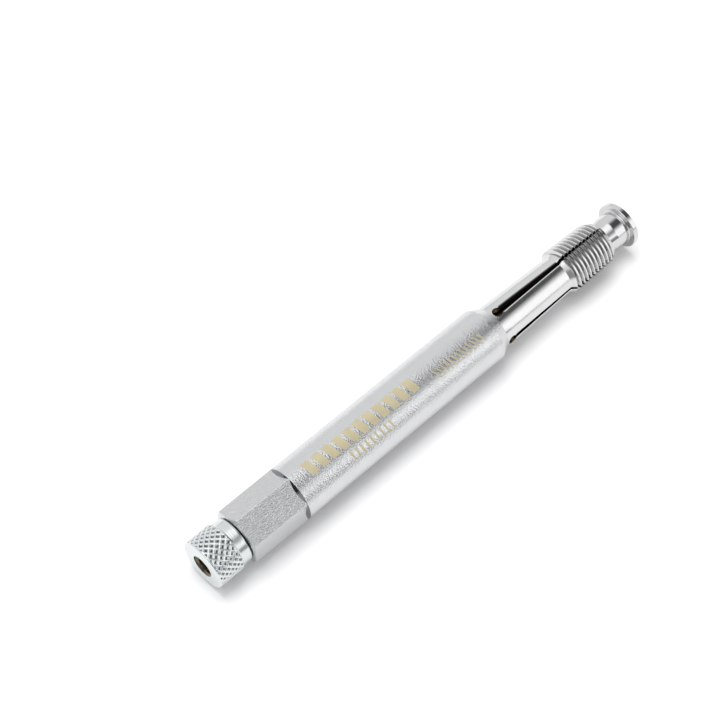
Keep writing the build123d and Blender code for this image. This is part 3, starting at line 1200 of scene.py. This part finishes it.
@dataclass
class Studio:
    """A pale table, soft light and the camera."""

    axle: Axle
    azimuth: float = -43.657
    elevation: float = 57.071
    distance: float = 0.50259
    target: Point = (-0.005729, 0.015509, 0.00725)
    sensor: float = 36.0
    lens: float = 104.642
    clip_start: float = 0.01
    table_half: float = 3.0
    paper_colour: Point = (0.87, 0.87, 0.872)
    paper_roughness: float = 0.85
    paper_gloss: float = 0.1
    key_azimuth: float = 172.0
    key_elevation: float = 78.0
    key_reach: float = 0.9
    key_size: float = 0.5
    key_power: float = 4.5
    air_colour: Point = (0.99, 0.995, 1.0)
    wall_level: float = 1.0
    lamp_level: float = 0.55
    gap_level: float = 0.1
    gap_middle: float = 169.0
    gap_widening: float = 205.0
    gap_lowest: float = 60.0
    gap_blur: float = 16.0
    window_from: float = 125.0
    window_to: float = 134.0
    window_slant: float = 86.0
    window_level: float = 1.5
    curtain_level: float = 0.08
    window_softness: tuple[float, float] = (20.0, 18.0)
    window_lean: float = 85.0
    window_lean_from: float = 0.39
    curtain_reach: tuple[float, float] = (-0.5, -0.2)
    skirting_level: float = 0.36
    skirting_blur: float = 7.0
    lamp_reach: tuple[float, float] = (0.345, 0.285)
    lamp_rise: tuple[float, float] = (56.0, 72.0)
    lamp_fall: tuple[float, float] = (112.0, 94.0)
    corner_reach: tuple[float, float] = (-0.7, -0.9)
    corner_height: tuple[float, float] = (0.45, 0.2)
    corner_shade: float = 0.93
    far_reach: tuple[float, float] = (0.6, 0.9)
    far_shade: float = 0.3
    horizon_reach: tuple[float, float] = (12.0, 0.0)
    horizon_shade: float = 0.2

    def hang(self, name: str, data: bpy.types.ID, azimuth: float, elevation: float, reach: float,
             target: Point = (0.0, 0.0, 0.0)) -> bpy.types.Object:
        """Hangs a camera or a light round the tool.

        Args:
            name: Its name.
            data: The camera or the light.
            azimuth: The side that it hangs on, in degrees: 0 is -Y and 90 is +X.
            elevation: Degrees above the table.
            reach: Metres from what it faces.
            target: What it faces.

        Returns:
            The hung object.
        """
        turn, rise = radians(azimuth), radians(elevation)
        back = Vector((sin(turn) * cos(rise), -cos(turn) * cos(rise), sin(rise)))
        made = bpy.data.objects.new(name, data)
        bpy.context.scene.collection.objects.link(made)
        made.location = Vector(target) + back * reach
        made.rotation_euler = back.to_track_quat("Z", "Y").to_euler()
        return made

    def camera(self) -> None:
        """Makes the camera."""
        lens = bpy.data.cameras.new("camera")
        lens.sensor_width = self.sensor
        lens.lens = self.lens
        lens.clip_start = self.clip_start
        bpy.context.scene.camera = self.hang("camera", lens, self.azimuth, self.elevation, self.distance,
                                             self.target)

    def table(self) -> None:
        """Makes the pale table that the tool lies on."""
        half = self.table_half
        corners = [(-half, -half, 0), (half, -half, 0), (half, half, 0), (-half, half, 0)]
        top = new_piece("table_top", corners, [(0, 1, 2, 3)])
        paper = bpy.data.materials.new("white_paper")
        paper.use_nodes = True
        shader = paper.node_tree.nodes["Principled BSDF"]
        shader.inputs["Base Color"].default_value = (*self.paper_colour, 1.0)
        shader.inputs["Roughness"].default_value = self.paper_roughness
        shader.inputs["Specular IOR Level"].default_value = self.paper_gloss
        top.data.materials.append(paper)

    def key_light(self) -> None:
        """Makes the soft light overhead, which the metal doesn't mirror."""
        light = bpy.data.lights.new("key", "AREA")
        light.shape = "RECTANGLE"
        light.size = light.size_y = self.key_size
        light.energy = self.key_power
        made = self.hang("key", light, self.key_azimuth, self.key_elevation, self.key_reach)
        made.visible_glossy = False

    def world(self) -> None:
        """A pale room round the table.

        Seen along the tool, the room is pale on the tool's +Y side, has a dark gap overhead that
        widens towards +X, a soft window on the -Y side that is curtained towards -X, and a dim wall
        under the window. Its +X end is dimmer and its low -X corner is dark.
        """
        world = bpy.data.worlds.new("studio")
        bpy.context.scene.world = world
        world.use_nodes = True
        tree = world.node_tree
        shade = tree.nodes["Background"]
        x, y, z = coordinates(tree, "Generated")
        angle = z.math("ARCTAN2", y) * degrees(1.0)
        ahead = x.largest(0.0)
        gap_from = (self.gap_middle - x * self.gap_widening).largest(self.gap_lowest)
        gap = angle.ramp(gap_from - self.gap_blur, gap_from + self.gap_blur).smooth()
        window_from = self.window_from + (self.window_lean_from - ahead).largest(0.0) * self.window_lean
        before, after = self.window_softness
        window = angle.ramp(window_from - before, window_from + after).smooth()
        window_to = ahead * self.window_slant + self.window_to
        below = angle.ramp(window_to - self.skirting_blur, window_to + self.skirting_blur).smooth()
        lamp = x.ramp(*self.lamp_reach).smooth() * angle.ramp(*self.lamp_rise) * angle.ramp(*self.lamp_fall)
        level = self.wall_level + self.lamp_level * lamp
        level = level + (self.gap_level - level) * gap
        window_level = x.ramp(*self.curtain_reach) * (self.window_level - self.curtain_level)
        window_level = window_level + self.curtain_level
        level = level + (window_level - level) * window
        level = level + (self.skirting_level - level) * below
        corner = x.ramp(*self.corner_reach) * z.ramp(*self.corner_height)
        far_end = x.ramp(*self.far_reach) * self.far_shade
        level = level * (1.0 - angle.ramp(*self.horizon_reach) * self.horizon_shade)
        feed(tree, shade.inputs["Strength"], level * (1.0 - self.corner_shade * corner) * (1.0 - far_end))
        shade.inputs["Color"].default_value = (*self.air_colour, 1.0)

    def build(self) -> None:
        """Builds the studio."""
        self.camera()
        self.table()
        self.world()
        self.key_light()
        bpy.context.scene.view_settings.view_transform = "Standard"


def main() -> None:
    """Builds the tool and its studio, piece by piece."""
    logging.basicConfig(level=logging.INFO, format="%(name)s: %(message)s")
    low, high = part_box("hex_body")
    whole = cad_box
    axle = Axle(x_middle=(whole[0][0] + whole[1][0]) / 2, height=(low[2] + high[2]) / 2,
                length=(whole[1][0] - whole[0][0]) / MM)
    chrome, plate, cut = (finish.material(axle) for finish in (BODY_CHROME, TAP_PLATE, TAP_CUT))
    Studio(axle).build()
    barrel = Barrel(axle)
    barrel.build(chrome, SHOULDER_DARK_REFLECTION.material(axle), FLAT_CHROME.material(axle))
    oxide = MARK_OXIDE.material(axle)
    radius = barrel.diameter / 2
    for row in (MarkRow("mark_bars", start=32.4, pitch=3.2, count=11, stroke=2.2, height=3.9, slant=0.9,
                        angle=99.0),
                MarkRow("mark_dashes", start=42.4, pitch=1.55, count=9, stroke=0.55, height=2.6, slant=0.5,
                        angle=133.0),
                MarkRow("mark_zigzag", start=71.4, pitch=1.25, count=13, stroke=0.4, height=2.7, slant=1.25,
                        angle=113.5, zigzag=True)):
        row.build(axle, radius, oxide)
    SplitTap(axle).build(plate, cut)
    DrawRod(axle).build(ROD_CHROME.material(axle), ROD_STEM.material(axle))
    Knob(axle).build(KNOB_PLATE.material(axle), KNOB_BORE.material(axle))
    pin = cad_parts["key_pin"]
    pin.data.materials.clear()
    pin.data.materials.append(KEY_STEEL.material(axle))


if __name__ == "__main__":
    main()
